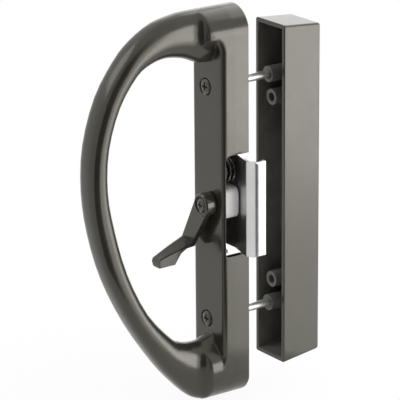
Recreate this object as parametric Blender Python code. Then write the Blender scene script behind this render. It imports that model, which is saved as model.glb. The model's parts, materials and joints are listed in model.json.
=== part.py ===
"""Sliding patio door handle set with a clamp latch.

An inside D-grip handle and an outside pull are drawn together through the door by two long screws.
A thumb lever on the inside turns a nylon cam, which swings a bright stamped latch out of the housing.

Frame: X runs along the door's width, towards the jamb. Y runs through the door, from inside to outside.
Z is up. Y = 0 is the door's inside face, X = 0 is the housing's middle, and Z = 0 lies midway between
the two mounting screws. Units are metres.
"""
import math

import bmesh
import bpy
from mathutils import Matrix, Vector

GAP = 0.0003            # clearance left between pieces that touch

# Door and fixing
DOOR_THICKNESS = 0.0235
SCREW_SPACING = 0.1254
SCREW_X = -0.0019       # the screw line lies a little off the housing's middle
SHANK_DIAMETER = 0.0042
HEAD_DIAMETER = 0.0094
HEAD_DEPTH = 0.0024
HEAD_CROWN = 0.0007
SCREW_INTO_PULL = 0.0125

# Cross recess of a screw head, as shares
RECESS_SPAN = 0.5       # of the head's diameter
RECESS_SLOT = 0.20      # of the span
RECESS_DEPTH = 0.32     # of the span
RECESS_MOUTH = 1.3      # of the span, at the far end of the cutter in front of the head
RECESS_BOTTOM = 0.45

# Inside handle: housing
HOUSING_WIDTH = 0.027
HOUSING_DEPTH = 0.0164
HOUSING_TOP = 0.1045
HOUSING_BOTTOM = -0.1048
FRONT_WALL = 0.0027
SIDE_WALL = 0.0032
FRONT_EDGE_ROUND = 0.0024
REAR_EDGE_ROUND = 0.0008
SHOULDER_FRONT = 0.0246     # how far the wide ends reach from the door
SHOULDER_TOP_LEDGE = 0.0909     # at the shoulder's front; the ledge runs in to the screw face at a slant
SHOULDER_BOTTOM_LEDGE = -0.0886
SHOULDER_TOP_SLANT = 0.0026
SHOULDER_BOTTOM_SLANT = 0.0040
SHOULDER_TOP_FILLET = 0.0078
SHOULDER_BOTTOM_FILLET = 0.0105
SHOULDER_EDGE_ROUND = 0.0026
SCREW_BOSS_DIAMETER = 0.0088

# Inside handle: window in the jamb side, open to the back
WINDOW_TOP = 0.0287
WINDOW_BOTTOM = -0.0255
WINDOW_FRONT = 0.0148
WINDOW_CORNER = 0.0030

# Inside handle: D-grip. Each row is a cross-section, from the top root round to the bottom root: its outer
# and its inner point, (Y, Z), in percent of the grip's depth and of the housing's height above or below
# Z = 0.
GRIP_DEPTH = 0.0918
GRIP_HALF_WIDTH = 0.0080
GRIP_OUTLINE = (
    ((-8.7, 100.0), (-8.7, 72.5)),
    ((-13.1, 100.0), (-13.1, 72.7)),
    ((-19.1, 100.0), (-19.1, 73.0)),
    ((-26.1, 100.0), (-26.1, 73.9)),
    ((-33.8, 99.9), (-33.8, 76.7)),
    ((-41.9, 99.1), (-40.1, 78.2)),
    ((-53.9, 96.6), (-49.0, 79.0)),
    ((-67.0, 89.9), (-58.8, 77.3)),
    ((-77.3, 81.1), (-67.9, 72.7)),
    ((-89.9, 64.6), (-78.9, 59.6)),
    ((-98.3, 42.1), (-86.3, 40.7)),
    ((-100.0, 19.6), (-87.6, 20.1)),
    ((-96.8, -2.4), (-83.7, 0.5)),
    ((-88.5, -27.0), (-76.0, -23.1)),
    ((-74.1, -52.5), (-62.5, -47.0)),
    ((-56.6, -75.4), (-45.8, -63.7)),
    ((-44.7, -87.8), (-39.2, -67.4)),
    ((-33.8, -96.9), (-33.8, -68.9)),
    ((-26.1, -99.6), (-26.1, -69.2)),
    ((-19.1, -99.9), (-19.1, -67.0)),
    ((-13.1, -99.9), (-13.1, -63.0)),
    ((-8.7, -99.9), (-8.7, -59.2)),
)
ROOT_ROWS = 3           # at each end, up to this row the cross-sections are square to Y
GRIP_STEPS = 3          # cross-sections to each span of the free grip
GRIP_SIDES = 40
GRIP_OUTER_SQUARENESS = 2.6
GRIP_INNER_SQUARENESS = 2.2
FLARE_RADIUS = 0.0056   # hollow where the grip widens into the shoulders
FLARE_EDGE = 0.0012     # rounding where the hollow meets the shoulder's side
FLARE_TOP_FADE = 0.0040     # height over which the flare dies out below the top shoulder
FLARE_BOTTOM_FADE = 0.0140
SKIN = 0.00009          # how far the grip's root stays inside the shoulder's surface

# Thumb lever
LEVER_X = 0.0025
LEVER_Z = 0.0018
HUB_DIAMETER = 0.0121
HUB_LENGTH = 0.0065
HUB_EDGE = 0.0006       # chamfer round both ends
ARM_ANGLE = 30.7        # from straight down, away from the jamb
ARM_LENGTH = 0.0262     # hub centre to the bend
ARM_WIDTH = 0.0082      # at the bend
ARM_THICKNESS = 0.0030
TAB_REACH = 0.0190      # from the arm's face out to the blunt tip
TAB_DROP = 0.0040       # how far the tab's near top edge falls on the way out
TAB_TIP_HEIGHT = 0.0050
TAB_HEEL = 0.0098       # from the arm's face to the heel of the tab
TAB_CROWN = 0.0006      # how far the blunt tip bulges
TAB_EDGE = 0.0005       # how much the tab thins at its two sides
TAB_TOP_MIDDLE = (50, 42)   # a point of the top edge, in percent of the reach and of the drop
# The tab's underside from the heel in to the arm, in percent of the heel's reach, the drop, the tip's height
TAB_UNDERSIDE = (
    (100, 100, 100),
    (86, 100, 62),
    (60, 90, 0),
    (25, 42, 0),
)
TAB_ROOT_DEPTH = 0.30   # thickness where the tab leaves the arm, as a share of the drop
TAB_TWIST = 0.9         # how much of the top's twist the underside follows
TAB_STATIONS = (0.0, 0.12, 0.5, 0.88, 1.0)  # cross-sections, as shares of the tab's width
LEVER_BORE_WALL = 0.0035
LEVER_SCREW_DIAMETER = 0.0040
LEVER_SCREW_HEAD = 0.0086
LEVER_TURN = 110.0

# Nylon cam behind the front wall
CAM_DIAMETER = 0.0164
CAM_REAR = 0.0042       # from the door face to the cam's flat rear
CAM_EDGE_ROUND = 0.0022
CAM_NOSE_DIAMETER = 0.0040
CAM_NOSE_TIP = 0.0024   # diameter at the nose's end
CAM_NOSE_HEIGHT = 0.0015
CAM_NOSE_RADIUS = 0.0060

# Stamped latch: plan of its front face, from the pivot ears out to the lip
LATCH_TOP = 0.0262
LATCH_BOTTOM = -0.0251
LATCH_SHEET = 0.0015
LATCH_SIDE_CLEARANCE = 0.0011
LATCH_FRONT = 0.0019    # from the door face to the front of its inner part
LATCH_BEND_X = 0.0010
LATCH_LEG_ANGLE = -14.0
LATCH_LEG_LENGTH = 0.0190
LATCH_HOOK_RADIUS = 0.0040
LATCH_LIP_ANGLE = 107.0
LATCH_LIP_LENGTH = 0.0042
LATCH_EAR_WIDTH = 0.0034
LATCH_EAR_HEIGHT = 0.0038
LATCH_CORNER = 0.0025
LATCH_INNER_X = -(HOUSING_WIDTH / 2 - SIDE_WALL - LATCH_SIDE_CLEARANCE)
LEDGE_MARGIN = 0.0010   # how far the cast ledge goes on past the latch's ear
STOP_THICKNESS = 0.0017

# Return spring between the front wall and the latch
SPRING_Z = 0.0178
SPRING_DIAMETER = 0.0130
SPRING_WIRE = 0.0011
SPRING_PITCH = 0.0027
SPRING_REAR = 0.0046
SPRING_FLAT_TURNS = 0.5     # at each end
SPRING_END_GAP = 0.0001     # between a flat turn and the next
SPRING_STEPS = 20       # cross-sections to a turn
SPRING_SIDES = 8

# Outside pull
PULL_WIDTH = 0.0246
PULL_DEPTH = 0.0233
PULL_TOP = 0.0912
PULL_BOTTOM = -0.0928
PULL_TOP_DRAFT = 0.0020
PULL_BOTTOM_DRAFT = 0.0031
PULL_WALL = 0.0022
PULL_EDGE_ROUND = 0.0013
SPARE_BOSS_SPACING = 0.1000
SPARE_BOSS_SET_BACK = 0.0023
PULL_BOSS_DIAMETER = 0.0086
PULL_WEB = 0.0016
PULL_WEB_SET_BACK = 0.0070

ROUND = 36              # sides of a turned piece


def clear_scene():
    for old in list(bpy.data.objects):
        bpy.data.objects.remove(old, do_unlink=True)


def material(name, colour, roughness, metallic):
    made = bpy.data.materials.new(name)
    made.use_nodes = True
    shader = made.node_tree.nodes["Principled BSDF"]
    shader.inputs["Base Color"].default_value = (*colour, 1.0)
    shader.inputs["Roughness"].default_value = roughness
    shader.inputs["Metallic"].default_value = metallic
    return made


def arc(centre, radius, start, end, steps):
    """Points on a circle in a plane, angles in degrees."""
    angles = [math.radians(start + (end - start) * i / steps) for i in range(steps + 1)]
    return [(centre[0] + radius * math.cos(a), centre[1] + radius * math.sin(a)) for a in angles]


def rounded(corners, steps=4):
    """The outline through (u, v, radius) corners, each turned by an arc of its own radius."""
    outline = []
    for i, (u, v, radius) in enumerate(corners):
        here = Vector((u, v))
        before = (Vector(corners[i - 1][:2]) - here).normalized()
        after = (Vector(corners[(i + 1) % len(corners)][:2]) - here).normalized()
        if not radius:
            outline.append((u, v))
            continue
        half = math.acos(max(-1.0, min(1.0, before.dot(after)))) / 2
        centre = here + (before + after).normalized() * radius / math.sin(half)
        start = here + before * radius / math.tan(half) - centre
        end = here + after * radius / math.tan(half) - centre
        first = math.degrees(math.atan2(start.y, start.x))
        turn = math.degrees(math.atan2(end.y, end.x)) - first
        turn = (turn + 180) % 360 - 180
        outline += arc(centre, radius, first, first + turn, steps)
    return outline


def along(axis, outline, where):
    """A plane outline set at one place along an axis: (Y, Z) along X, (X, Z) along Y, (X, Y) along Z."""
    if axis == "X":
        return [Vector((where, u, v)) for u, v in outline]
    if axis == "Y":
        return [Vector((u, where, v)) for u, v in outline]
    return [Vector((u, v, where)) for u, v in outline]


def loft(name, rings, closed=False):
    """A closed body through rings of equally many points, capped at both ends unless it closes on itself."""
    mesh = bmesh.new()
    loops = [[mesh.verts.new(point) for point in ring] for ring in rings]
    pairs = list(zip(loops, loops[1:]))
    if closed:
        pairs.append((loops[-1], loops[0]))
    else:
        mesh.faces.new(loops[0])
        mesh.faces.new(loops[-1])
    for low, high in pairs:
        for i in range(len(low)):
            j = (i + 1) % len(low)
            mesh.faces.new((low[i], low[j], high[j], high[i]))
    bmesh.ops.recalc_face_normals(mesh, faces=mesh.faces)
    data = bpy.data.meshes.new(name)
    mesh.to_mesh(data)
    mesh.free()
    made = bpy.data.objects.new(name, data)
    bpy.context.scene.collection.objects.link(made)
    return made


def prism(name, axis, outline, start, end):
    return loft(name, [along(axis, outline, start), along(axis, outline, end)])


def turned(name, centre, profile, sides=ROUND):
    """A body turned about a line along Y through centre (X, Z), from (Y, radius) stations."""
    rings = []
    for y, radius in profile:
        circle = arc(centre, radius, 0, 360 - 360 / sides, sides - 1)
        rings.append(along("Y", circle, y))
    return loft(name, rings)


def combine(target, tool, operation):
    """Joins, cuts or intersects the target with a tool, which is used up."""
    modifier = target.modifiers.new(operation.lower(), "BOOLEAN")
    modifier.operation = operation
    modifier.object = tool
    graph = bpy.context.evaluated_depsgraph_get()
    result = bpy.data.meshes.new_from_object(target.evaluated_get(graph))
    target.modifiers.clear()
    target.data = result
    bpy.data.objects.remove(tool, do_unlink=True)


def finish(made, finish_material, origin, parent=None):
    """Sets the origin on the joint or seat, the material and the shading, and parents a moving piece."""
    made.data.transform(Matrix.Translation(-Vector(origin)))
    made.location = origin
    made.data.materials.clear()
    made.data.materials.append(finish_material)
    made.data.shade_smooth()
    made.data.set_sharp_from_angle(angle=math.radians(35))
    if parent:
        made.parent = parent
        made.location = Vector(origin) - parent.location
    return made


def stadium(inset=0.0, steps=26):
    """The housing's outline seen from the front: straight sides and full round ends."""
    radius = HOUSING_WIDTH / 2
    top = (0.0, HOUSING_TOP - radius)
    bottom = (0.0, HOUSING_BOTTOM + radius)
    return arc(top, radius - inset, 0, 180, steps) + arc(bottom, radius - inset, 180, 360, steps)


def edge_stations(depth_start, depth_end, edge_round, steps=4):
    """(depth, inset) stations of a quarter round from a face into the side below it."""
    way = 1 if depth_end > depth_start else -1
    stations = []
    for i in range(steps + 1):
        a = math.radians(90 * i / steps)
        stations.append((depth_start + way * edge_round * (1 - math.cos(a)), edge_round * (1 - math.sin(a))))
    return stations


def spline(knots, t):
    """A Catmull-Rom curve through the middle two of four knots."""
    p0, p1, p2, p3 = knots
    return 0.5 * (2 * p1 + (p2 - p0) * t + (2 * p0 - 5 * p1 + 4 * p2 - p3) * t ** 2
                  + (3 * p1 - p0 - 3 * p2 + p3) * t ** 3)


def outline_point(share):
    y, z = share
    height = HOUSING_TOP if z > 0 else -HOUSING_BOTTOM
    return Vector((y * GRIP_DEPTH, z * height)) / 100


def root_depths():
    """The Y of each cross-section in a root, close together where the flare turns."""
    start = -SHOULDER_FRONT - FLARE_RADIUS
    hollow = [start + FLARE_RADIUS * math.sin(math.radians(15 * i)) for i in range(7)]
    edge = [-SHOULDER_FRONT + FLARE_EDGE * (1 - math.cos(math.radians(30 * i))) for i in (1, 2, 3)]
    return hollow + edge


def root_shares(knots):
    """Where a root's span crosses the root depths, as shares of the span."""
    found = []
    for depth in root_depths():
        low, high = 0.0, 1.0
        rising = knots[2].x > knots[1].x
        if not min(knots[1].x, knots[2].x) < depth < max(knots[1].x, knots[2].x):
            continue
        for _ in range(30):
            middle = (low + high) / 2
            if (spline(knots, middle).x < depth) == rising:
                low = middle
            else:
                high = middle
        found.append(low)
    return sorted(found)


def grip_pairs():
    """The grip's outer and inner points, one pair to each cross-section."""
    pairs = [tuple(outline_point(share) for share in row) for row in GRIP_OUTLINE]
    last = len(pairs) - 1
    curve = []
    for i in range(1, last - 1):
        knots = [[pairs[i + n][side] for n in (-1, 0, 1, 2)] for side in range(2)]
        if min(i, last - 1 - i) <= ROOT_ROWS:
            shares = [0.0] + root_shares(knots[0])
        else:
            shares = [k / GRIP_STEPS for k in range(GRIP_STEPS)]
        curve += [(spline(knots[0], t), spline(knots[1], t)) for t in shares]
    return curve + [pairs[last - 1]]


def flare_rise(y):
    """How far the grip has widened into the shoulder at that depth: a hollow, then a rounded edge."""
    edge_share = FLARE_EDGE / (HOUSING_WIDTH / 2 - GRIP_HALF_WIDTH)
    past = y + SHOULDER_FRONT
    if past <= -FLARE_RADIUS:
        return 0.0
    if past <= 0.0:
        return (1 - edge_share) * (1 - math.sqrt(max(0.0, 1 - (1 + past / FLARE_RADIUS) ** 2)))
    left = max(0.0, 1 - past / FLARE_EDGE)
    return 1 - edge_share + edge_share * math.sqrt(1 - left ** 2)


def shoulder_half_width(z):
    """How much of the shoulder there is at a height, dying out past its ledge, and its half width there."""
    radius = HOUSING_WIDTH / 2
    if z > 0:
        centre, ledge, fade = HOUSING_TOP - radius, SHOULDER_TOP_LEDGE, FLARE_TOP_FADE
        past = (ledge - z) / fade
        out = z - centre
    else:
        centre, ledge, fade = HOUSING_BOTTOM + radius, SHOULDER_BOTTOM_LEDGE, FLARE_BOTTOM_FADE
        past = (z - ledge) / fade
        out = centre - z
    share = (1 - max(0.0, min(1.0, past)) ** 3) ** 2
    return share, math.sqrt(max(0.0, radius ** 2 - max(0.0, out) ** 2)) - SKIN


def grip():
    """The D-shaped grip: rounded-square in section, deeper at its roots and flared into the shoulders."""
    rings = []
    for outer, inner in grip_pairs():
        middle = (outer + inner) / 2
        half = (outer - inner) / 2
        ring = []
        for i in range(GRIP_SIDES):
            a = 2 * math.pi * i / GRIP_SIDES
            square = GRIP_OUTER_SQUARENESS if math.sin(a) > 0 else GRIP_INNER_SQUARENESS
            across = abs(math.cos(a)) ** (2 / square)
            depth = math.copysign(abs(math.sin(a)) ** (2 / square), math.sin(a))
            y, z = middle + half * depth
            width = GRIP_HALF_WIDTH * across
            share, wide = shoulder_half_width(z)
            width += max(0.0, wide - width) * share * flare_rise(y)
            if flare_rise(y) == 1.0:
                width = min(width, wide)
            if abs(math.cos(a)) < 1e-9:
                width = 0.0
            ring.append(Vector((math.copysign(width, math.cos(a)), y, z)))
        rings.append(ring)
    return loft("grip", rings)


def rear_rounding(from_side):
    """How far the back is rounded off, that far in from the housing's side."""
    left = max(0.0, 1 - from_side / REAR_EDGE_ROUND)
    return REAR_EDGE_ROUND * (1 - math.sqrt(1 - left ** 2))


def housing_profile(x, inset):
    """The housing's side view at a place across it, (Y, Z): a flat back, the screw face, two shoulders."""
    face = -HOUSING_DEPTH + inset
    front = -SHOULDER_FRONT + FLARE_EDGE + inset
    back = -rear_rounding(HOUSING_WIDTH / 2 - x)
    top = SHOULDER_TOP_LEDGE + inset
    bottom = SHOULDER_BOTTOM_LEDGE - inset
    edge = SHOULDER_EDGE_ROUND - inset
    beyond = HOUSING_WIDTH / 2
    return rounded((
        (back, HOUSING_BOTTOM - beyond, 0),
        (back, HOUSING_TOP + beyond, 0),
        (front, HOUSING_TOP + beyond, 0),
        (front, top, edge),
        (face, top - SHOULDER_TOP_SLANT, SHOULDER_TOP_FILLET + inset),
        (face, bottom + SHOULDER_BOTTOM_SLANT, SHOULDER_BOTTOM_FILLET + inset),
        (front, bottom, edge),
        (front, HOUSING_BOTTOM - beyond, 0),
    ), 6)


def housing():
    """The long body: its side view with rounded long edges, cut to the round-ended front view."""
    half = HOUSING_WIDTH / 2
    sides = edge_stations(half, 0.0, FRONT_EDGE_ROUND)
    rings = [along("X", housing_profile(x, inset), -x) for x, inset in sides]
    rings += [along("X", housing_profile(x, inset), x) for x, inset in sides[::-1]]
    body = loft("inside_handle", rings)
    combine(body, prism("front_view", "Y", stadium(), -2 * SHOULDER_FRONT, HOUSING_DEPTH), "INTERSECT")
    return body


def screw_places():
    return (("upper", SCREW_SPACING / 2), ("lower", -SCREW_SPACING / 2))


def inside_handle():
    body = housing()
    combine(body, grip(), "UNION")
    front_inside = -HOUSING_DEPTH + FRONT_WALL
    combine(body, prism("cavity", "Y", stadium(SIDE_WALL), front_inside, HOUSING_DEPTH), "DIFFERENCE")
    for _, z in screw_places():
        boss = turned("boss", (SCREW_X, z), (
            (front_inside - FRONT_WALL / 2, SCREW_BOSS_DIAMETER / 2), (-GAP, SCREW_BOSS_DIAMETER / 2)), 24)
        combine(body, boss, "UNION")
    for way, edge in ((1, LATCH_TOP), (-1, LATCH_BOTTOM)):
        combine(body, latch_ledge(way, edge), "UNION")
    window = rounded((
        (-WINDOW_FRONT, WINDOW_BOTTOM, WINDOW_CORNER / 2),
        (HOUSING_DEPTH, WINDOW_BOTTOM, 0),
        (HOUSING_DEPTH, WINDOW_TOP, 0),
        (-WINDOW_FRONT, WINDOW_TOP, WINDOW_CORNER),
    ))
    inside_x = HOUSING_WIDTH / 2 - SIDE_WALL - GAP
    combine(body, prism("window", "X", window, inside_x, HOUSING_WIDTH), "DIFFERENCE")
    for _, z in screw_places():
        bore = turned("bore", (SCREW_X, z), countersunk_bore(), 24)
        combine(body, bore, "DIFFERENCE")
    lever_hole = LEVER_SCREW_DIAMETER / 2 + LEVER_BORE_WALL / 2 + GAP
    hole = turned("lever_hole", (LEVER_X, LEVER_Z), (
        (-SHOULDER_FRONT, lever_hole), (front_inside + FRONT_WALL, lever_hole)), 24)
    combine(body, hole, "DIFFERENCE")
    return body


def latch_ledge(way, edge):
    """A cast ledge that one of the latch's ears pivots on; the door's face keeps the ear there."""
    ear_end = edge + way * (LATCH_EAR_HEIGHT + GAP)
    outer_x = -HOUSING_WIDTH / 2 + SIDE_WALL / 2
    inner_x = LATCH_INNER_X + LATCH_EAR_WIDTH + 2 * GAP
    front_inside = -HOUSING_DEPTH + FRONT_WALL / 2
    low = edge + way * 2 * GAP
    block = prism("ledge", "Z", (
        (outer_x, front_inside), (inner_x, front_inside), (inner_x, -LATCH_FRONT - GAP),
        (outer_x, -LATCH_FRONT - GAP)), low, ear_end + way * LEDGE_MARGIN)
    stop = prism("stop", "Z", (
        (outer_x, front_inside), (inner_x, front_inside), (inner_x, -GAP), (outer_x, -GAP)),
        ear_end, ear_end + way * STOP_THICKNESS)
    combine(block, stop, "UNION")
    return block


def countersunk_bore():
    """Stations of the hole that a mounting screw passes through, with its countersink at the front."""
    bore = SHANK_DIAMETER / 2 + GAP
    sink = HEAD_DIAMETER / 2 + GAP
    return (
        (-SHOULDER_FRONT, sink),
        (-HOUSING_DEPTH, sink),
        (-HOUSING_DEPTH + HEAD_DEPTH + GAP, bore),
        (HOUSING_DEPTH, bore),
    )


def cross_recess(centre, face_y, head_diameter):
    """The cross-shaped driver recess of a screw head, tapering as it goes in."""
    size = head_diameter * RECESS_SPAN
    width = size * RECESS_SLOT
    depth = size * RECESS_DEPTH
    bars = []
    for long_side, short_side in ((size, width), (width, size)):
        outline = [(-long_side / 2, -short_side / 2), (long_side / 2, -short_side / 2),
                   (long_side / 2, short_side / 2), (-long_side / 2, short_side / 2)]
        rings = []
        for y, share in ((face_y - depth, RECESS_MOUTH), (face_y + depth, RECESS_BOTTOM)):
            corners = [(centre[0] + u * share, centre[1] + v * share) for u, v in outline]
            rings.append(along("Y", corners, y))
        bars.append(loft("bar", rings))
    combine(bars[0], bars[1], "UNION")
    return bars[0]


def domed_head(face_y, radius, crown, steps=4):
    """(Y, radius) stations of a low dome on a screw head, from its top down to its rim."""
    stations = []
    flat = 0.6      # share of a step left flat in the middle
    for i in range(steps):
        a = math.radians(90 * (i + flat) / (steps + flat))
        stations.append((face_y - crown * math.cos(a), radius * math.sin(a)))
    return stations + [(face_y, radius)]


def mounting_screw(name, z):
    """A countersunk oval-head machine screw, from the inside handle's face into the pull's boss."""
    shank = SHANK_DIAMETER / 2
    end = DOOR_THICKNESS + SCREW_INTO_PULL
    stations = domed_head(-HOUSING_DEPTH, HEAD_DIAMETER / 2, HEAD_CROWN)
    stations += [(-HOUSING_DEPTH + HEAD_DEPTH, shank), (end - shank / 2, shank), (end, shank / 2)]
    screw = turned(name, (SCREW_X, z), stations)
    recess = cross_recess((SCREW_X, z), -HOUSING_DEPTH - HEAD_CROWN, HEAD_DIAMETER)
    combine(screw, recess, "DIFFERENCE")
    return screw


def lever_faces():
    """(front, rear) of the lever's hub along Y."""
    rear = -HOUSING_DEPTH - GAP
    return rear - HUB_LENGTH, rear


def arm_frame():
    """Plan directions of the lever's arm on the housing's face: along it, and across it towards the jamb."""
    a = math.radians(ARM_ANGLE)
    return Vector((-math.sin(a), -math.cos(a))), Vector((math.cos(a), -math.sin(a)))


def lever_arm():
    """The flat arm from the hub to the bend line."""
    front = lever_faces()[0] + GAP * 2
    ahead, across = arm_frame()
    centre = Vector((LEVER_X, LEVER_Z))
    bend = centre + ahead * ARM_LENGTH
    hub = HUB_DIAMETER / 2 - GAP
    overlap = ahead * ARM_THICKNESS / 3
    corners = (
        centre - across * hub, bend - across * ARM_WIDTH / 2 + overlap,
        bend + across * ARM_WIDTH / 2 + overlap, centre + across * hub)
    return prism("arm", "Y", [tuple(corner) for corner in corners], front, front + ARM_THICKNESS)


def lever_tab():
    """The thumb tab: a wedge that runs out towards the hand, twisted a little across its top."""
    front = lever_faces()[0] + GAP * 2
    ahead, across = arm_frame()
    bend = Vector((LEVER_X, LEVER_Z)) + ahead * ARM_LENGTH
    near = bend + across * ARM_WIDTH / 2
    far = bend - across * ARM_WIDTH / 2
    tip_y = front - TAB_REACH
    out, down = TAB_TOP_MIDDLE
    top = (
        (front + ARM_THICKNESS, 0.0),
        (front, 0.0),
        (front - TAB_REACH * out / 100, -TAB_DROP * down / 100),
        (tip_y, -TAB_DROP),
    )
    tip = (
        (tip_y - TAB_CROWN, -TAB_DROP - TAB_TIP_HEIGHT / 2),
        (tip_y, -TAB_DROP - TAB_TIP_HEIGHT),
    )
    underside = [
        (front - TAB_HEEL * out / 100, -(TAB_DROP * drop + TAB_TIP_HEIGHT * height) / 100)
        for out, drop, height in TAB_UNDERSIDE]
    root = ((front + ARM_THICKNESS, -TAB_DROP * TAB_ROOT_DEPTH),)
    side = [(point, 1) for point in top] + [(point, -1) for point in (*tip, *underside, *root)]
    lift = far.y - near.y
    rings = []
    for share in TAB_STATIONS:
        x = near.x + (far.x - near.x) * share
        pinch = TAB_EDGE if share in (0.0, 1.0) else 0.0
        ring = []
        for (y, z), way in side:
            fade = 1 - max(0.0, (front - y) / TAB_REACH)
            rise = lift * share * fade * (1 if way > 0 else TAB_TWIST)
            ring.append(Vector((x, y, near.y + z + rise - way * pinch)))
        rings.append(ring)
    return loft("tab", rings)


def lever():
    front, rear = lever_faces()
    centre = (LEVER_X, LEVER_Z)
    radius = HUB_DIAMETER / 2
    body = turned("lever", centre, (
        (front, radius - HUB_EDGE), (front + HUB_EDGE, radius),
        (rear - HUB_EDGE, radius), (rear, radius - HUB_EDGE)))
    combine(body, lever_arm(), "UNION")
    combine(body, lever_tab(), "UNION")
    bore = LEVER_SCREW_DIAMETER / 2 + GAP
    sink = LEVER_SCREW_HEAD / 2 + GAP
    seat = front + HEAD_DEPTH
    combine(body, turned("bore", centre, (
        (front - HUB_LENGTH, sink), (front + GAP * 2, sink), (seat, bore), (rear + HUB_LENGTH, bore)), 24),
        "DIFFERENCE")
    return body


def lever_screw():
    """The screw that clamps the lever to the cam through the housing's front wall."""
    front = lever_faces()[0]
    centre = (LEVER_X, LEVER_Z)
    shank = LEVER_SCREW_DIAMETER / 2
    face = front + GAP
    end = -CAM_REAR - CAM_EDGE_ROUND
    stations = domed_head(face, LEVER_SCREW_HEAD / 2, HEAD_CROWN)
    stations += [(face + HEAD_DEPTH - GAP, shank), (end - shank / 2, shank), (end, shank / 2)]
    screw = turned("lever_screw", centre, stations)
    combine(screw, cross_recess(centre, face - HEAD_CROWN, LEVER_SCREW_HEAD), "DIFFERENCE")
    return screw


def latch_cam():
    """The nylon cam: a round-edged disc with a neck through the wall and a nose that pushes the latch."""
    centre = (LEVER_X, LEVER_Z)
    radius = CAM_DIAMETER / 2
    disc_front = -HOUSING_DEPTH + FRONT_WALL + GAP
    neck = LEVER_SCREW_DIAMETER / 2 + LEVER_BORE_WALL / 2
    stations = [(-HOUSING_DEPTH + GAP / 2, neck), (disc_front, neck), (disc_front + GAP, radius)]
    rear = edge_stations(-CAM_REAR, disc_front, CAM_EDGE_ROUND, 5)
    stations += [(y, radius - inset) for y, inset in rear[::-1]]
    cam = turned("latch_cam", centre, stations)
    a = math.radians(LEVER_TURN)
    nose_x = LEVER_X + CAM_NOSE_RADIUS * math.cos(a)
    nose_z = LEVER_Z + CAM_NOSE_RADIUS * math.sin(a)
    nose_radius = CAM_NOSE_DIAMETER / 2
    nose = turned("nose", (nose_x, nose_z), (
        (-CAM_REAR - CAM_EDGE_ROUND, nose_radius),
        (-CAM_REAR + CAM_NOSE_HEIGHT / 2, nose_radius),
        (-CAM_REAR + CAM_NOSE_HEIGHT, CAM_NOSE_TIP / 2)), 20)
    combine(cam, nose, "UNION")
    bore = LEVER_SCREW_DIAMETER / 2 + GAP
    combine(cam, turned("bore", centre, (
        (-HOUSING_DEPTH - HUB_LENGTH, bore), (-CAM_REAR - CAM_EDGE_ROUND + GAP, bore)), 24), "DIFFERENCE")
    return cam


def latch_plan():
    """The latch's front face in plan, (X, Y): inner part, leg, round hook and lip."""
    start = Vector((LATCH_INNER_X, -LATCH_FRONT))
    bend = Vector((LATCH_BEND_X, -LATCH_FRONT))
    leg = math.radians(LATCH_LEG_ANGLE)
    hook_start = bend + Vector((math.cos(leg), math.sin(leg))) * LATCH_LEG_LENGTH
    centre = hook_start + Vector((-math.sin(leg), math.cos(leg))) * LATCH_HOOK_RADIUS
    hook = arc(centre, LATCH_HOOK_RADIUS, LATCH_LEG_ANGLE - 90, LATCH_LIP_ANGLE - 90, 10)
    lip = math.radians(LATCH_LIP_ANGLE)
    end = Vector(hook[-1]) + Vector((math.cos(lip), math.sin(lip))) * LATCH_LIP_LENGTH
    return [start, bend] + [Vector(point) for point in hook] + [end]


def thickened(path, thickness):
    """A closed outline of even thickness to the left of a path."""
    other = []
    for i, point in enumerate(path):
        before = (point - path[i - 1]).normalized() if i else None
        after = (path[i + 1] - point).normalized() if i + 1 < len(path) else None
        if before is None or after is None:
            way = after or before
            other.append(point + Vector((-way.y, way.x)) * thickness)
            continue
        middle = (before + after).normalized()
        side = Vector((-middle.y, middle.x))
        other.append(point + side * thickness / side.dot(Vector((-before.y, before.x))))
    return [tuple(p) for p in path] + [tuple(p) for p in reversed(other)]


def latch():
    """The stamped clamp latch: sheet bent into a hook, with rounded corners and two pivot ears."""
    path = latch_plan()
    sheet = thickened(path, LATCH_SHEET)
    body = prism("latch", "Z", sheet, LATCH_BOTTOM - LATCH_EAR_HEIGHT, LATCH_TOP + LATCH_EAR_HEIGHT)
    far_x = max(point.x for point in path) + LATCH_SHEET
    ear_x = LATCH_INNER_X + LATCH_EAR_WIDTH
    trim = rounded((
        (LATCH_INNER_X - LATCH_SHEET, LATCH_BOTTOM - LATCH_EAR_HEIGHT, 0),
        (ear_x, LATCH_BOTTOM - LATCH_EAR_HEIGHT, 0),
        (ear_x, LATCH_BOTTOM, LATCH_CORNER / 4),
        (far_x, LATCH_BOTTOM, LATCH_CORNER),
        (far_x, LATCH_TOP, LATCH_CORNER),
        (ear_x, LATCH_TOP, LATCH_CORNER / 4),
        (ear_x, LATCH_TOP + LATCH_EAR_HEIGHT, 0),
        (LATCH_INNER_X - LATCH_SHEET, LATCH_TOP + LATCH_EAR_HEIGHT, 0),
    ))
    combine(body, prism("trim", "Y", trim, -HOUSING_DEPTH * 2, HOUSING_DEPTH * 2), "INTERSECT")
    return body


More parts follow.
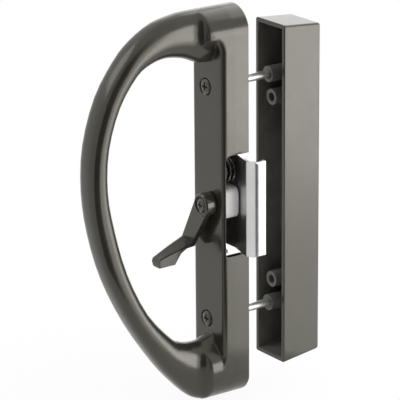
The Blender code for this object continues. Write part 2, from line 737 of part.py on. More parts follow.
def latch_spring():
    """The coil return spring, wound about a line along Y, with a flat turn at each end."""
    radius = (SPRING_DIAMETER - SPRING_WIRE) / 2
    wire = SPRING_WIRE / 2
    front = -HOUSING_DEPTH + FRONT_WALL + GAP + wire
    rear = -SPRING_REAR - wire
    flat = SPRING_FLAT_TURNS
    flat_rise = SPRING_WIRE + SPRING_END_GAP
    turns = 2 * flat + (rear - front - 2 * flat * flat_rise) / SPRING_PITCH
    steps = int(turns * SPRING_STEPS)
    rings = []
    for i in range(steps + 1):
        turn = turns * i / steps
        if turn < flat:
            y = front + turn * flat_rise
        elif turn > turns - flat:
            y = rear - (turns - turn) * flat_rise
        else:
            share = (turn - flat) / (turns - 2 * flat)
            y = front + flat * flat_rise + share * (rear - front - 2 * flat * flat_rise)
        a = 2 * math.pi * turn
        out = Vector((math.cos(a), 0.0, math.sin(a)))
        centre = Vector((LEVER_X, y, SPRING_Z)) + out * radius
        ring = []
        for k in range(SPRING_SIDES):
            b = 2 * math.pi * k / SPRING_SIDES
            ring.append(centre + out * wire * math.cos(b) + Vector((0, 1, 0)) * wire * math.sin(b))
        rings.append(ring)
    return loft("latch_spring", rings)


def pull_outline(y, inset):
    """The outside pull's outline at a depth y past its rim, drafted at both ends."""
    share = y / PULL_DEPTH
    half = PULL_WIDTH / 2 - inset
    top = PULL_TOP - PULL_TOP_DRAFT * share - inset
    bottom = PULL_BOTTOM + PULL_BOTTOM_DRAFT * share + inset
    corner = max(PULL_EDGE_ROUND - inset, PULL_EDGE_ROUND / 4)
    places = ((half, bottom), (half, top), (-half, top), (-half, bottom))
    return rounded([(u, v, corner) for u, v in places], 3)


def outside_pull():
    """The outside pull: a drafted channel open towards the door, with bosses on cross webs."""
    stations = [(0.0, PULL_EDGE_ROUND / 5), (PULL_EDGE_ROUND / 5, 0.0)]
    stations += edge_stations(PULL_DEPTH, 0.0, PULL_EDGE_ROUND, 3)[::-1]
    body = loft("outside_pull", [
        along("Y", pull_outline(depth, inset), DOOR_THICKNESS + depth) for depth, inset in stations])
    floor = PULL_DEPTH - PULL_WALL
    hollow = loft("hollow", [
        along("Y", pull_outline(depth, PULL_WALL), DOOR_THICKNESS + depth) for depth in (-PULL_WALL, floor)])
    combine(body, hollow, "DIFFERENCE")
    boss_radius = PULL_BOSS_DIAMETER / 2
    bosses = [(z, 0.0) for _, z in screw_places()]
    bosses += [(way * SPARE_BOSS_SPACING / 2, SPARE_BOSS_SET_BACK) for way in (1, -1)]
    half = PULL_WIDTH / 2 - PULL_WALL / 2
    end = DOOR_THICKNESS + floor + PULL_WALL / 2
    for z, set_back in bosses:
        front = DOOR_THICKNESS + set_back
        combine(body, turned("boss", (SCREW_X, z), ((front, boss_radius), (end, boss_radius)), 24), "UNION")
        web_front = DOOR_THICKNESS + PULL_WEB_SET_BACK
        web = prism("web", "Z", ((-half, web_front), (half, web_front), (half, end), (-half, end)),
                    z - PULL_WEB / 2, z + PULL_WEB / 2)
        combine(body, web, "UNION")
    bore = SHANK_DIAMETER / 2 + GAP
    for z, set_back in bosses:
        hole = turned("bore", (SCREW_X, z), (
            (DOOR_THICKNESS - PULL_WALL, bore), (DOOR_THICKNESS + floor - PULL_WALL, bore)), 24)
        combine(body, hole, "DIFFERENCE")
    return body


def joint_empty(name, place):
    empty = bpy.data.objects.new(name, None)
    empty.location = place
    bpy.context.scene.collection.objects.link(empty)
    return empty


def main():
    clear_scene()
    black = material("black_enamel", (0.018, 0.018, 0.017), 0.22, 0.0)
    black_screw = material("black_screw", (0.03, 0.03, 0.03), 0.3, 0.6)
    zinc = material("zinc_plate", (0.72, 0.72, 0.70), 0.22, 1.0)
    chrome = material("chrome_plate", (0.85, 0.85, 0.86), 0.1, 1.0)
    nylon = material("white_nylon", (0.85, 0.84, 0.82), 0.45, 0.0)
    spring_steel = material("spring_steel", (0.30, 0.29, 0.27), 0.3, 1.0)

    hub = (LEVER_X, lever_faces()[0], LEVER_Z)
    lever_axis = joint_empty("lever_axis", hub)
    ear_x = LATCH_INNER_X + LATCH_EAR_WIDTH / 2
    ear = (ear_x, -LATCH_FRONT + LATCH_SHEET / 2, (LATCH_TOP + LATCH_BOTTOM) / 2)
    latch_axis = joint_empty("latch_axis", ear)

    finish(inside_handle(), black, (0.0, 0.0, 0.0))
    finish(outside_pull(), black, (0.0, DOOR_THICKNESS, 0.0))
    for which, z in screw_places():
        finish(mounting_screw("mounting_screw_" + which, z), zinc, (SCREW_X, -HOUSING_DEPTH, z))
    finish(lever(), black, hub, lever_axis)
    finish(lever_screw(), black_screw, hub, lever_axis)
    finish(latch_cam(), nylon, hub, lever_axis)
    finish(latch(), chrome, ear, latch_axis)
    finish(latch_spring(), spring_steel, (LEVER_X, -HOUSING_DEPTH + FRONT_WALL, SPRING_Z))


main()
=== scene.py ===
import json
import math

import bmesh
import bpy
from mathutils import Matrix, Vector


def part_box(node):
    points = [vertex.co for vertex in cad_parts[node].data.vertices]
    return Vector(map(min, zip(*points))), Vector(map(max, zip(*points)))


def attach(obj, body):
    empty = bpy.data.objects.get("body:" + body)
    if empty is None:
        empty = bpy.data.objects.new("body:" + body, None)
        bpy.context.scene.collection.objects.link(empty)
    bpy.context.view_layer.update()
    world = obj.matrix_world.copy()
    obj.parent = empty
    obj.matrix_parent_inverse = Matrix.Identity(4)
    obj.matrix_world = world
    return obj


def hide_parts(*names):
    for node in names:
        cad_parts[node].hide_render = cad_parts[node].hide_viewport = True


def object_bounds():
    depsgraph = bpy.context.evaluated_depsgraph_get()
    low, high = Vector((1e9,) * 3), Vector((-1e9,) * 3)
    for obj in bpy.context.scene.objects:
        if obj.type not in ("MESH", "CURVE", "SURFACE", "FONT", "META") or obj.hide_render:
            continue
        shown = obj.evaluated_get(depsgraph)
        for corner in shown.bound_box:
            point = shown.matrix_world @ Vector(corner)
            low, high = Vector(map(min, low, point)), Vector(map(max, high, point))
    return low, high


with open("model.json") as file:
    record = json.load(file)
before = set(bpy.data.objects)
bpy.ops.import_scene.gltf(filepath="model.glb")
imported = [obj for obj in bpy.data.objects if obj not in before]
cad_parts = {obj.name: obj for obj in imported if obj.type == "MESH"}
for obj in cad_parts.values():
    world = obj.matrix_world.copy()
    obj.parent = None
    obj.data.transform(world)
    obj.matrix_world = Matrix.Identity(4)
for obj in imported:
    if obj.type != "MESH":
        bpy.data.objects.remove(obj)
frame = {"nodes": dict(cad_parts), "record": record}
cad_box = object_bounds()

# Lengths are in metres and angles in degrees. Azimuth 0 is the front of the handle, 90 the jamb's side.

# Camera, fitted to the photograph
CAMERA_AZIMUTH = 54.361
CAMERA_ELEVATION = 18.043
CAMERA_ROLL = -0.45
CAMERA_DISTANCE = 1.4169
CAMERA_TARGET = (-0.030124, 0.0, -0.008379)
CAMERA_LENS = 241.84            # in mm, on a sensor 36 mm wide

# Studio
FLOOR_Z = cad_box[0].z - 0.0002
FLOOR_CENTRE = (-0.03, -0.05)
FLOOR_RADIUS = 0.13
FLOOR_SIDES = 96
FLOOR_SHADES = ((0.86, 0.86, 0.855), (0.90, 0.90, 0.895))
FLOOR_WHITE = (0.93, 1.0)       # share of plain white in the middle and at the rim, over the floor's own look
FLOOR_FADE = (0.35, 0.97)       # where that change starts and ends, as shares of the radius
WHITE = (1.0, 1.0, 1.0)
STUDIO_LEVEL = 0.55             # radiance of the studio's white walls as they light the object
DARK_LEVEL = 0.03               # what glossy surfaces mirror of the unlit side, where the photographer stands
DARK_SIDE_LIGHT = 0.38          # the soft light that still comes from there
DARK_SIDE = (42.0, 30.0)        # the unlit side starts and is full at these angles from its middle
DARK_TOP = (38.0, 52.0)         # and it fades out between these elevations
LAMP_AIM = (0.0, -0.02, 0.0)
LAMPS = (                       # name, azimuth, elevation, distance, size, watts
    ("side_right", 120.0, -5.3, 1.3, (1.25, 1.0), 6.8),
    ("side_back", 136.0, 0.0, 1.3, (1.0, 0.8), 7.9),
    ("back_top", 190.0, 40.0, 1.3, (1.3, 1.0), 7.0),
    ("back_left", -122.0, 18.0, 1.4, (0.8, 0.8), 1.6),
    ("key_left", -40.0, 42.0, 1.3, (0.7, 0.7), 3.0),
)

# Colours, each as the two shades between which it drifts
ENAMEL = ((0.028, 0.0262, 0.0205), (0.036, 0.0338, 0.0262))
# painted light: a lighter grey for the inside of the pull's hollow, in place of the light that reaches it
HOLLOW_PAINTED_LIGHT = ((0.125, 0.122, 0.112), (0.18, 0.175, 0.16))
ZINC = ((0.70, 0.70, 0.68), (0.85, 0.85, 0.83))
BLACK_HEAD = ((0.055, 0.053, 0.043), (0.090, 0.087, 0.074))
BLACK_SCREW = ((0.075, 0.072, 0.058), (0.110, 0.106, 0.088))
CHROME = ((0.79, 0.79, 0.785), (0.85, 0.85, 0.845))
NYLON = ((0.93, 0.90, 0.895), (0.97, 0.95, 0.94))
SPRING_WIRE = ((0.22, 0.21, 0.19), (0.36, 0.35, 0.33))
ENAMEL_TINT = (1.0, 0.972, 0.86, 1.0)
HEAD_TINT = (1.0, 0.975, 0.87, 1.0)

# Castings
WELD = 0.000002                 # points nearer than this become one
CASTING_CREASE = 35.0           # edges sharper than this stay sharp
BROAD_FACES = 60                # weight of broad faces in the even shading
HANDLE_EDGE = 0.0006            # shaded roundness of the handle's edges
SMALL_EDGE = 0.0005             # and of the pull's and the lever's
PARTING_LINE = -0.0088          # Y of the mould's parting line in the handle's side walls
DRAFT = 0.022                   # slope of the side walls away from it
ROOT_EDGE = 0.0018              # softer shading of the creases where the grip meets the shoulders
ROOT_OUT = (0.0130, 0.0180)     # it comes in between these distances in front of the door,
UPPER_ROOT = (0.0640, 0.0720)   # and between these heights above
LOWER_ROOT = (0.0570, 0.0640)   # and below the middle
PULL_WALLS = Vector((0.0021, 0.0011, 0.0021))   # from the pull's box to its hollow, open towards the door

# Screws
HEAD_EASE = 0.00070             # how much less the heads' radius is than in the CAD
HEAD_DOME = 0.0011              # height of their domes
HEAD_RIM = 0.0003               # thickness of the rim between dome and cone
HEAD_LENGTH = 0.0033            # from the top of a long screw to its bright zinc
DOME_STEPS = 9
HEAD_CREASE = 32.0
SHANK_RADIUS = 0.0021
SMALL_SHANK_RADIUS = 0.0020
RECESS_DEPTH = 0.0019
RECESS_SPAN = 1.26              # of the head's radius
RECESS_SLOT = 0.30
RECESS_ENDS = ((-0.4, 1.16), (1.0, 0.42))   # (depth, width) of the cutter's ends, as shares

# Latch: corners of its front face in plan, each (X, Y, radius)
LATCH_FRONT = -0.0019
LATCH_BEND = (0.0034, -0.0019, 0.0022)
LATCH_NOSE = (0.0186, -0.0060, 0.0012)
LATCH_CREST = (0.0249, -0.00265, 0.0030)
LATCH_LIP = (0.0233, 0.0031, 0)
LATCH_SHEET = 0.0015
LEAST_RADIUS = 0.0003           # inside a bend
EAR_WIDTH = 0.0034
EAR_HEIGHT = 0.0038
EAR_TIP_RADIUS = 0.0001
EAR_ROOT_RADIUS = 0.0006
PLATE_CORNER_RADIUS = 0.0024
OVERLAP = 0.001                 # how far a cutter reaches past what it cuts
LATCH_EDGE = 0.00018
LATCH_CREASE = 40.0

# Cam
CAM_SQUARENESS = 5.5
CAM_SIDES = 96
CAM_FRONT = ((0.0, 0.0005), (0.00015, 0.00015), (0.0005, 0.0))  # (depth, inset) of its front edge
CAM_ROUND = 0.0013              # of its rear edge
CAM_ROUND_STEPS = 8
CAM_NECK_LENGTH = 0.00285
CAM_NECK_RADIUS = 0.00375
CAM_NOSE_HEIGHT = 0.0015
CAM_NOSE_PLACE = (-0.00205, 0.00564)        # from the cam's middle, (X, Z)
CAM_NOSE = ((0.0008, 0.0020), (0.0002, 0.0017), (0.0, 0.0012))  # (depth from its tip, radius)
CAM_BORE = 0.0023
CAM_BORE_END = 0.0018           # how far from the cam's rear the bore ends
CAM_CREASE = 35.0


def direction(azimuth, elevation):
    """The direction from the object towards a place at that azimuth and elevation."""
    a, e = math.radians(azimuth), math.radians(elevation)
    return Vector((math.sin(a) * math.cos(e), -math.cos(a) * math.cos(e), math.sin(e)))


class Tree:
    """Short calls for a material's or the world's nodes."""

    def __init__(self, owner):
        owner.use_nodes = True
        self.nodes = owner.node_tree.nodes
        self.links = owner.node_tree.links

    def add(self, kind, **settings):
        node = self.nodes.new(kind)
        for name, value in settings.items():
            setattr(node, name, value)
        return node

    def join(self, output, socket):
        self.links.new(output, socket)

    def place(self):
        return self.add("ShaderNodeTexCoord").outputs["Object"]

    def axes(self, vector=None):
        """The X, Y and Z outputs of a vector, or of the place on the object."""
        apart = self.add("ShaderNodeSeparateXYZ")
        self.join(vector or self.place(), apart.inputs[0])
        return apart.outputs

    def vector(self, operation, output, by=None, give=0):
        """The result of a vector operation on an output, by a fixed vector if one is given."""
        node = self.add("ShaderNodeVectorMath", operation=operation)
        self.join(output, node.inputs[0])
        if by is not None:
            node.inputs[1].default_value = by
        return node.outputs[give]

    def noise(self, scale, detail=2.0, vector=None):
        node = self.add("ShaderNodeTexNoise")
        node.inputs["Scale"].default_value = scale
        node.inputs["Detail"].default_value = detail
        self.join(vector or self.place(), node.inputs["Vector"])
        return node.outputs["Fac"]

    def spread(self, value, low, high, start=0.3, end=0.7):
        """Maps a value between start and end to low and high."""
        node = self.add("ShaderNodeMapRange")
        for name, number in (("From Min", start), ("From Max", end), ("To Min", low), ("To Max", high)):
            node.inputs[name].default_value = number
        self.join(value, node.inputs["Value"])
        return node.outputs["Result"]

    def blend(self, factor, first, second):
        """Mixes two colours, each a colour or an output."""
        node = self.add("ShaderNodeMix", data_type="RGBA")
        self.join(factor, node.inputs["Factor"])
        for name, colour in (("A", first), ("B", second)):
            socket = [s for s in node.inputs if s.name == name and s.type == "RGBA"][0]
            if isinstance(colour, tuple):
                socket.default_value = (*colour, 1.0)
            else:
                self.join(colour, socket)
        return [s for s in node.outputs if s.type == "RGBA"][0]

    def drift(self, cloud, shades):
        """A colour that drifts between two shades with a noise."""
        return self.blend(self.spread(cloud, 0.0, 1.0), *shades)

    def math(self, operation, *values):
        node = self.add("ShaderNodeMath", operation=operation)
        for socket, value in zip(node.inputs, values):
            if isinstance(value, (int, float)):
                socket.default_value = value
            else:
                self.join(value, socket)
        return node.outputs["Value"]

    def bump(self, height, distance, strength=1.0, normal=None):
        node = self.add("ShaderNodeBump")
        node.inputs["Strength"].default_value = strength
        node.inputs["Distance"].default_value = distance
        self.join(height, node.inputs["Height"])
        if normal:
            self.join(normal, node.inputs["Normal"])
        return node.outputs["Normal"]

    def soft_edges(self, radius):
        node = self.add("ShaderNodeBevel", samples=6)
        if isinstance(radius, float):
            node.inputs["Radius"].default_value = radius
        else:
            self.join(radius, node.inputs["Radius"])
        return node.outputs["Normal"]


def new_material(name):
    made = bpy.data.materials.new(name)
    tree = Tree(made)
    return made, tree, tree.nodes["Principled BSDF"].inputs


def within(tree, low, high):
    """1 inside a box between two corners, 0 outside it."""
    at = tree.axes()
    inside = 1.0
    for axis, start, end in zip("XYZ", low, high):
        for operation, limit in (("GREATER_THAN", start), ("LESS_THAN", end)):
            inside = tree.math("MULTIPLY", tree.math(operation, at[axis], limit), inside)
    return inside


def root_edges(tree):
    """The shaded roundness of the handle's edges, wider where the grip meets the shoulders."""
    at = tree.axes()
    out = tree.spread(tree.math("MULTIPLY", at["Y"], -1.0), 0.0, 1.0, *ROOT_OUT)
    up = tree.spread(at["Z"], 0.0, 1.0, *UPPER_ROOT)
    down = tree.spread(tree.math("MULTIPLY", at["Z"], -1.0), 0.0, 1.0, *LOWER_ROOT)
    wide = tree.math("MULTIPLY", out, tree.math("MAXIMUM", up, down))
    return tree.math("ADD", tree.math("MULTIPLY", wide, ROOT_EDGE - HANDLE_EDGE), HANDLE_EDGE)


def enamel(name, seed, hollow=None, handle=False):
    """Glossy baked enamel on a die casting: nearly even, with a faint orange peel and soft edges.

    Inside a hollow, given as a box's two corners, the enamel is duller, and its colour is a lighter grey
    that is painted light, standing in for the light in the hollow. The handle has softer edges at its roots,
    and side walls that lean away from a parting line by a hair both ways.
    """
    made, tree, shader = new_material(name)
    place = tree.vector("ADD", tree.place(), (seed, seed * 0.7, seed * 1.3))
    colour = tree.drift(tree.noise(45.0, 3.0, vector=place), ENAMEL)
    rough = tree.spread(tree.noise(210.0, 3.0, vector=place), 0.16, 0.22)
    if hollow:
        # inside the hollow the colour turns to a painted-light grey, and the added roughness makes the enamel
        # duller
        in_hollow = within(tree, *hollow)
        colour = tree.blend(in_hollow, colour, tree.drift(tree.noise(130.0, 4.0, vector=place), HOLLOW_PAINTED_LIGHT))
        rough = tree.math("ADD", rough, tree.math("MULTIPLY", in_hollow, 0.32))
    tree.join(colour, shader["Base Color"])
    tree.join(rough, shader["Roughness"])
    normal = tree.soft_edges(root_edges(tree) if handle else SMALL_EDGE)
    if handle:
        away = tree.math("ABSOLUTE", tree.math("SUBTRACT", tree.axes()["Y"], PARTING_LINE))
        normal = tree.bump(tree.math("MULTIPLY", away, -DRAFT), 1.0, 1.0, normal)
    tree.join(tree.bump(tree.noise(900.0, 1.5, vector=place), 0.00002, 0.35, normal), shader["Normal"])
    shader["IOR"].default_value = 1.55
    shader["Specular Tint"].default_value = ENAMEL_TINT
    return made


def screw_finish(name, head_end):
    """Bright zinc on the shank, with faint turning marks, and black on the head."""
    made, tree, shader = new_material(name)
    on_shank = tree.spread(tree.axes()["Y"], 0.0, 1.0, head_end - 0.0001, head_end + 0.0001)
    stain = tree.noise(320.0, 3.0)
    tree.join(tree.blend(on_shank, tree.drift(stain, BLACK_HEAD), tree.drift(stain, ZINC)),
              shader["Base Color"])
    tree.join(on_shank, shader["Metallic"])
    tree.join(tree.math("ADD", tree.spread(tree.noise(500.0), 0.20, 0.28),
                        tree.math("MULTIPLY", on_shank, 0.20)), shader["Roughness"])
    shader["Specular Tint"].default_value = HEAD_TINT
    marks = tree.add("ShaderNodeTexWave", wave_type="BANDS", bands_direction="Y")
    marks.inputs["Scale"].default_value = 420.0
    marks.inputs["Distortion"].default_value = 1.5
    tree.join(tree.place(), marks.inputs["Vector"])
    tree.join(tree.bump(marks.outputs["Fac"], 0.00001, 0.3, tree.soft_edges(0.0002)), shader["Normal"])
    return made


def chrome(name):
    """Bright chrome on stamped sheet: a softly blurred mirror, with faint waviness and haze."""
    made, tree, shader = new_material(name)
    tree.join(tree.drift(tree.noise(90.0), CHROME), shader["Base Color"])
    shader["Metallic"].default_value = 1.0
    tree.join(tree.spread(tree.noise(180.0, 1.0), 0.37, 0.41), shader["Roughness"])
    tree.join(tree.bump(tree.noise(45.0, 0.0), 0.00002, 0.3, tree.soft_edges(0.0003)), shader["Normal"])
    return made


def nylon(name):
    """White moulded nylon: satin and slightly waxy, with a fine moulded texture."""
    made, tree, shader = new_material(name)
    tree.join(tree.drift(tree.noise(180.0), NYLON), shader["Base Color"])
    tree.join(tree.spread(tree.noise(700.0), 0.36, 0.48), shader["Roughness"])
    shader["Subsurface Weight"].default_value = 0.15
    shader["Subsurface Radius"].default_value = (0.0010, 0.0009, 0.0008)
    tree.join(tree.bump(tree.noise(2200.0), 0.00002, 0.4, tree.soft_edges(0.0003)), shader["Normal"])
    return made


def dark_steel(name, shades, rough, metallic, edge_radius):
    """Oiled or blackened steel with small changes of colour and gloss."""
    made, tree, shader = new_material(name)
    tree.join(tree.drift(tree.noise(300.0, 4.0), shades), shader["Base Color"])
    shader["Metallic"].default_value = metallic
    tree.join(tree.spread(tree.noise(800.0), *rough), shader["Roughness"])
    tree.join(tree.bump(tree.noise(1600.0), 0.00001, 0.3, tree.soft_edges(edge_radius)), shader["Normal"])
    return made


def body_of(node):
    """The name of the CAD body that a node rides on."""
    bodies = frame["record"]["behaviour"]["bodies"]
    return [name for name, members in bodies.items() if node in members][0]


def carry(piece, node, finish):
    """Makes a piece stand for a CAD node: its body and its finish."""
    piece.data.materials.clear()
    piece.data.materials.append(finish)
    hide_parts(node)
    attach(piece, body_of(node))


def dress(node, finish):
    """Gives a CAD node its finish."""
    slots = frame["nodes"][node].data.materials
    slots.clear()
    slots.append(finish)


def new_object(name, mesh):
    made = bpy.data.objects.new(name, mesh)
    bpy.context.scene.collection.objects.link(made)
    return made


def weld(mesh):
    """Joins a mesh's doubled points and drops faces of no area."""
    shape = bmesh.new()
    shape.from_mesh(mesh)
    bmesh.ops.remove_doubles(shape, verts=shape.verts, dist=WELD)
    bmesh.ops.dissolve_degenerate(shape, edges=shape.edges, dist=WELD)
    shape.to_mesh(mesh)
    shape.free()


def smooth(piece, crease):
    """Shades a piece smoothly, but for edges sharper than the crease angle."""
    piece.data.shade_smooth()
    piece.data.set_sharp_from_angle(angle=math.radians(crease))


def casting_piece(name, node, finish):
    """Stands for a CAD node on its own surface, with evenly shaded curves and flat faces that stay flat."""
    mesh = frame["nodes"][node].data.copy()
    mesh.name = name
    weld(mesh)
    piece = new_object(name, mesh)
    if mesh.has_custom_normals:
        with bpy.context.temp_override(object=piece, active_object=piece):
            bpy.ops.mesh.customdata_custom_splitnormals_clear()
    smooth(piece, CASTING_CREASE)
    even = piece.modifiers.new("even_shading", "WEIGHTED_NORMAL")
    even.keep_sharp = True
    even.weight = BROAD_FACES
    carry(piece, node, finish)


def closed_body(name, *skins):
    """An object made of closed skins, each given as rings of points from one end to the other."""
    shape = bmesh.new()
    for skin in skins:
        rings = [[shape.verts.new(point) for point in ring] for ring in skin]
        for low, high in zip(rings, rings[1:]):
            for i in range(len(low)):
                j = (i + 1) % len(low)
                shape.faces.new((low[i], low[j], high[j], high[i]))
        shape.faces.new(rings[0])
        shape.faces.new(rings[-1])
    bmesh.ops.recalc_face_normals(shape, faces=shape.faces)
    mesh = bpy.data.meshes.new(name)
    shape.to_mesh(mesh)
    shape.free()
    return new_object(name, mesh)


def lathe(name, centre, stations, sides=72):
    """A closed body turned about a line along Y through centre (X, Z), from (Y, radius) stations."""
    turns = [2 * math.pi * i / sides for i in range(sides)]
    return closed_body(name, [[(centre[0] + radius * math.cos(a), y, centre[1] + radius * math.sin(a))
                               for a in turns] for y, radius in stations])


def cross_cutter(centre, face_y, span, slot):
    """The cutter for a cross recess: two crossed bars that taper as they go in."""
    bars = []
    for across, along in ((span, slot), (slot, span)):
        corners = ((-across, -along), (across, -along), (across, along), (-across, along))
        bars.append([[(centre[0] + u * share / 2, face_y + RECESS_DEPTH * depth, centre[1] + v * share / 2)
                      for u, v in corners] for depth, share in RECESS_ENDS])
    return closed_body("recess", *bars)


def rounded(corners, steps=8):
    """The path through (u, v, radius) corners, each turned by an arc of its radius; the ends stay sharp."""
    path = [Vector(corners[0][:2])]
    for before, here, after in zip(corners, corners[1:], corners[2:]):
        corner = Vector(here[:2])
        back = (Vector(before[:2]) - corner).normalized()
        ahead = (Vector(after[:2]) - corner).normalized()
        half = back.angle(ahead) / 2
        centre = corner + (back + ahead).normalized() * here[2] / math.sin(half)
        start = corner + back * here[2] / math.tan(half) - centre
        end = corner + ahead * here[2] / math.tan(half) - centre
        turn = math.atan2(start.x * end.y - start.y * end.x, start.dot(end))
        for i in range(steps + 1):
            a = turn * i / steps
            path.append(centre + Vector((start.x * math.cos(a) - start.y * math.sin(a),
                                         start.x * math.sin(a) + start.y * math.cos(a))))
    return path + [Vector(corners[-1][:2])]


def beside(corners, gap):
    """The corners of the line that runs at that gap on the left of another line, for rounded()."""
    ways = [(Vector(b[:2]) - Vector(a[:2])).normalized() for a, b in zip(corners, corners[1:])]
    ways = [ways[0], *ways, ways[-1]]
    moved = []
    for (u, v, radius), come, go in zip(corners, ways, ways[1:]):
        left = Vector((-come.y - go.y, come.x + go.x)).normalized()
        point = Vector((u, v)) + left * gap / left.dot(Vector((-go.y, go.x)))
        turn = come.x * go.y - come.y * go.x
        moved.append((point.x, point.y, max(radius - math.copysign(gap, turn), LEAST_RADIUS)))
    return moved


def applied(piece):
    """Turns a piece's modifiers into a clean mesh."""
    result = bpy.data.meshes.new_from_object(piece.evaluated_get(bpy.context.evaluated_depsgraph_get()))
    piece.modifiers.clear()
    piece.data = result
    weld(result)


def trimmed(piece, tool, operation):
    """Joins a tool to a piece or cuts the piece with it, and uses up the tool."""
    cut = piece.modifiers.new("trim", "BOOLEAN")
    cut.operation = operation
    cut.solver = "EXACT"
    cut.use_self = True
    cut.object = tool
    applied(piece)
    bpy.data.objects.remove(tool, do_unlink=True)


def screw_piece(name, node, finish, shank):
    """An oval-head screw with a domed head, a thin rim and a cross recess, in the place of its node."""
    low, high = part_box(node)
    centre = ((low.x + high.x) / 2, (low.z + high.z) / 2)
    radius = (high.x - low.x) / 2 - HEAD_EASE
    rim = low.y + HEAD_DOME
    stations = []
    for i in range(DOME_STEPS):
        a = math.radians(90 * (i + 0.4) / (DOME_STEPS + 0.4))
        stations.append((rim - HEAD_DOME * math.cos(a), radius * math.sin(a)))
    stations += [(rim + HEAD_RIM * 0.4, radius), (rim + HEAD_RIM, radius - 0.0001),
                 (rim + HEAD_RIM + radius - shank, shank), (high.y - shank / 2, shank), (high.y, shank / 2)]
    piece = lathe(name, centre, stations)
    trimmed(piece, cross_cutter(centre, low.y, radius * RECESS_SPAN, radius * RECESS_SLOT), "DIFFERENCE")
    smooth(piece, HEAD_CREASE)
    carry(piece, node, finish)


def latch_piece(finish):
    """The stamped latch: a bent sheet with a flat striking face, a tight hook, a lip and two pivot ears."""
    low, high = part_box("latch")
    front = ((low.x, LATCH_FRONT, 0), LATCH_BEND, LATCH_NOSE, LATCH_CREST, LATCH_LIP)
    outline = rounded(front) + rounded(beside(front, LATCH_SHEET))[::-1]
    piece = closed_body("clamp_latch", [[(p.x, p.y, z) for p in outline] for z in (low.z, high.z)])
    near, ear = low.x - OVERLAP, low.x + EAR_WIDTH
    under, bottom = low.z - OVERLAP, low.z + EAR_HEIGHT
    over, top = high.z + OVERLAP, high.z - EAR_HEIGHT
    plan = rounded(((near, under, 0), (ear, under, EAR_TIP_RADIUS), (ear, bottom, EAR_ROOT_RADIUS),
                    (high.x, bottom, PLATE_CORNER_RADIUS), (high.x, top, PLATE_CORNER_RADIUS),
                    (ear, top, EAR_ROOT_RADIUS), (ear, over, EAR_TIP_RADIUS), (near, over, 0)))
    cutter = closed_body("trim", [[(p.x, y, p.y) for p in plan] for y in (low.y - 0.01, high.y + 0.01)])
    trimmed(piece, cutter, "INTERSECT")
    edge = piece.modifiers.new("edge", "BEVEL")
    edge.width = LATCH_EDGE
    edge.segments = 2
    edge.limit_method = "ANGLE"
    edge.angle_limit = math.radians(50)
    applied(piece)
    smooth(piece, LATCH_CREASE)
    even = piece.modifiers.new("even_shading", "WEIGHTED_NORMAL")
    even.keep_sharp = True
    carry(piece, "latch", finish)


def cam_piece(finish):
    """The nylon cam: a rounded-square block with a bore, a neck through the front wall and a nose."""
    low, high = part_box("latch_cam")
    centre = ((low.x + high.x) / 2, (low.z + high.z) / 2)
    half = (high.x - low.x) / 2
    front, rear = low.y + CAM_NECK_LENGTH, high.y - CAM_NOSE_HEIGHT
    stations = [(front + depth, inset) for depth, inset in CAM_FRONT]
    for i in range(CAM_ROUND_STEPS + 1):
        a = math.radians(90 * i / CAM_ROUND_STEPS)
        stations.append((rear - CAM_ROUND * (1 - math.sin(a)), CAM_ROUND * (1 - math.cos(a))))
    rings = []
    for y, inset in stations:
        ring = []
        for i in range(CAM_SIDES):
            a = 2 * math.pi * i / CAM_SIDES
            u, v = [math.copysign(abs(w) ** (2 / CAM_SQUARENESS), w) for w in (math.cos(a), math.sin(a))]
            ring.append((centre[0] + (half - inset) * u, y, centre[1] + (half - inset) * v))
        rings.append(ring)
    piece = closed_body("nylon_cam", rings)
    neck = lathe("neck", centre, [(low.y, CAM_NECK_RADIUS), (front + OVERLAP, CAM_NECK_RADIUS)])
    trimmed(piece, neck, "UNION")
    stations = [(rear - OVERLAP, CAM_NOSE[0][1])]
    stations += [(high.y - depth, radius) for depth, radius in CAM_NOSE]
    nose = lathe("nose", (centre[0] + CAM_NOSE_PLACE[0], centre[1] + CAM_NOSE_PLACE[1]), stations)
    trimmed(piece, nose, "UNION")
    bore = lathe("bore", centre, [(low.y - OVERLAP, CAM_BORE), (rear - CAM_BORE_END, CAM_BORE)])
    trimmed(piece, bore, "DIFFERENCE")
    smooth(piece, CAM_CREASE)
    carry(piece, "latch_cam", finish)


def dress_nodes():
    casting_piece("handle_casting", "inside_handle", enamel("handle_enamel_look", 0.0, handle=True))
    low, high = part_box("outside_pull")
    hollow = (low + PULL_WALLS * Vector((1, -1, 1)), high - PULL_WALLS)
    casting_piece("pull_casting", "outside_pull", enamel("pull_enamel_look", 3.1, hollow))
    casting_piece("thumb_lever_casting", "lever", enamel("lever_enamel_look", 5.7))
    screws = screw_finish("zinc_screw_look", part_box("mounting_screw_upper")[0].y + HEAD_LENGTH)
    screw_piece("long_screw_upper", "mounting_screw_upper", screws, SHANK_RADIUS)
    screw_piece("long_screw_lower", "mounting_screw_lower", screws, SHANK_RADIUS)
    screw_piece("lever_clamp_screw", "lever_screw", dark_steel(
        "black_screw_look", BLACK_SCREW, (0.20, 0.28), 0.0, 0.0002), SMALL_SHANK_RADIUS)
    latch_piece(chrome("bright_chrome_look"))
    cam_piece(nylon("white_nylon_look"))
    dress("latch_spring", dark_steel("spring_wire_look", SPRING_WIRE, (0.22, 0.34), 1.0, 0.0001))


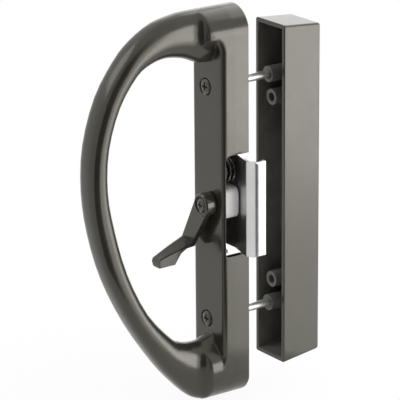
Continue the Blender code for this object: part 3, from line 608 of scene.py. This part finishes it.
def make_floor():
    """The pale floor: white where it is seen, with the object's soft shadow left faintly on it."""
    mesh = bpy.data.meshes.new("floor")
    turns = [2 * math.pi * i / FLOOR_SIDES for i in range(FLOOR_SIDES)]
    rim = [(FLOOR_RADIUS * math.sin(a), FLOOR_RADIUS * math.cos(a), 0.0) for a in turns]
    mesh.from_pydata(rim, [], [tuple(reversed(range(FLOOR_SIDES)))])
    floor = new_object("floor", mesh)
    floor.location = (*FLOOR_CENTRE, FLOOR_Z)
    made, tree, shader = new_material("pale_floor")
    tree.join(tree.blend(tree.noise(3.0), *FLOOR_SHADES), shader["Base Color"])
    shader["Roughness"].default_value = 0.8
    shader["Specular IOR Level"].default_value = 0.1
    path = tree.add("ShaderNodeLightPath").outputs
    seen = tree.math("MAXIMUM", path["Is Camera Ray"], path["Is Glossy Ray"])
    seen = tree.math("MAXIMUM", seen, path["Is Transmission Ray"])
    reach = tree.vector("LENGTH", tree.vector("MULTIPLY", tree.place(), (1.0, 1.0, 0.0)), give="Value")
    share = tree.spread(reach, *FLOOR_WHITE, *(FLOOR_RADIUS * end for end in FLOOR_FADE))
    mix = tree.add("ShaderNodeMixShader")
    tree.join(tree.math("MULTIPLY", seen, share), mix.inputs["Fac"])
    tree.join(tree.nodes["Principled BSDF"].outputs[0], mix.inputs[1])
    tree.join(tree.add("ShaderNodeEmission").outputs[0], mix.inputs[2])
    tree.join(mix.outputs[0], tree.nodes["Material Output"].inputs["Surface"])
    mesh.materials.append(made)


def make_world():
    """A white studio with one unlit side, where the photographer stood."""
    world = bpy.data.worlds.new("studio")
    bpy.context.scene.world = world
    tree = Tree(world)
    tree.nodes.clear()
    way = tree.add("ShaderNodeTexCoord").outputs["Generated"]
    heading = tree.vector("NORMALIZE", tree.vector("MULTIPLY", way, (1.0, 1.0, 0.0)))
    facing = tree.vector("DOT_PRODUCT", heading, direction(CAMERA_AZIMUTH, 0.0), give="Value")
    ahead = tree.spread(facing, 0.0, 1.0, *(math.cos(math.radians(angle)) for angle in DARK_SIDE))
    low = tree.spread(tree.axes(way)["Z"], 1.0, 0.0, *(math.sin(math.radians(angle)) for angle in DARK_TOP))
    dark_zone = tree.math("MULTIPLY", ahead, low)
    lit = tree.blend(dark_zone, (STUDIO_LEVEL,) * 3, (DARK_SIDE_LIGHT,) * 3)
    mirrored = tree.blend(dark_zone, WHITE, (DARK_LEVEL,) * 3)
    path = tree.add("ShaderNodeLightPath").outputs
    studio = tree.blend(path["Is Glossy Ray"], lit, mirrored)
    seen = tree.math("MAXIMUM", path["Is Camera Ray"], path["Is Transmission Ray"])
    background = tree.add("ShaderNodeBackground")
    tree.join(tree.blend(seen, studio, WHITE), background.inputs["Color"])
    tree.join(background.outputs[0], tree.add("ShaderNodeOutputWorld").inputs["Surface"])


def make_lamp(name, azimuth, elevation, distance, size, power):
    """A rectangular soft lamp that faces the object from that azimuth and elevation."""
    data = bpy.data.lights.new(name, "AREA")
    data.shape = "RECTANGLE"
    data.size, data.size_y = size
    data.energy = power
    way = direction(azimuth, elevation)
    lamp = new_object(name, data)
    lamp.location = Vector(LAMP_AIM) + way * distance
    lamp.rotation_mode = "QUATERNION"
    lamp.rotation_quaternion = (-way).to_track_quat("-Z", "Y")
    lamp.visible_camera = False


def make_camera():
    data = bpy.data.cameras.new("camera")
    data.lens = CAMERA_LENS
    data.sensor_width = 36.0
    data.sensor_fit = "HORIZONTAL"
    data.clip_start = 0.05
    data.clip_end = 50.0
    camera = new_object("camera", data)
    back = direction(CAMERA_AZIMUTH, CAMERA_ELEVATION)
    a, roll = math.radians(CAMERA_AZIMUTH), math.radians(CAMERA_ROLL)
    level = Vector((math.cos(a), math.sin(a), 0.0))
    upright = back.cross(level)
    right = level * math.cos(roll) + upright * math.sin(roll)
    up = upright * math.cos(roll) - level * math.sin(roll)
    turn = Matrix((right, up, back)).transposed()
    camera.matrix_world = Matrix.Translation(Vector(CAMERA_TARGET) + back * CAMERA_DISTANCE) @ turn.to_4x4()
    bpy.context.scene.camera = camera


dress_nodes()
make_floor()
make_world()
for lamp in LAMPS:
    make_lamp(*lamp)
make_camera()
bpy.context.scene.view_settings.view_transform = "Standard"
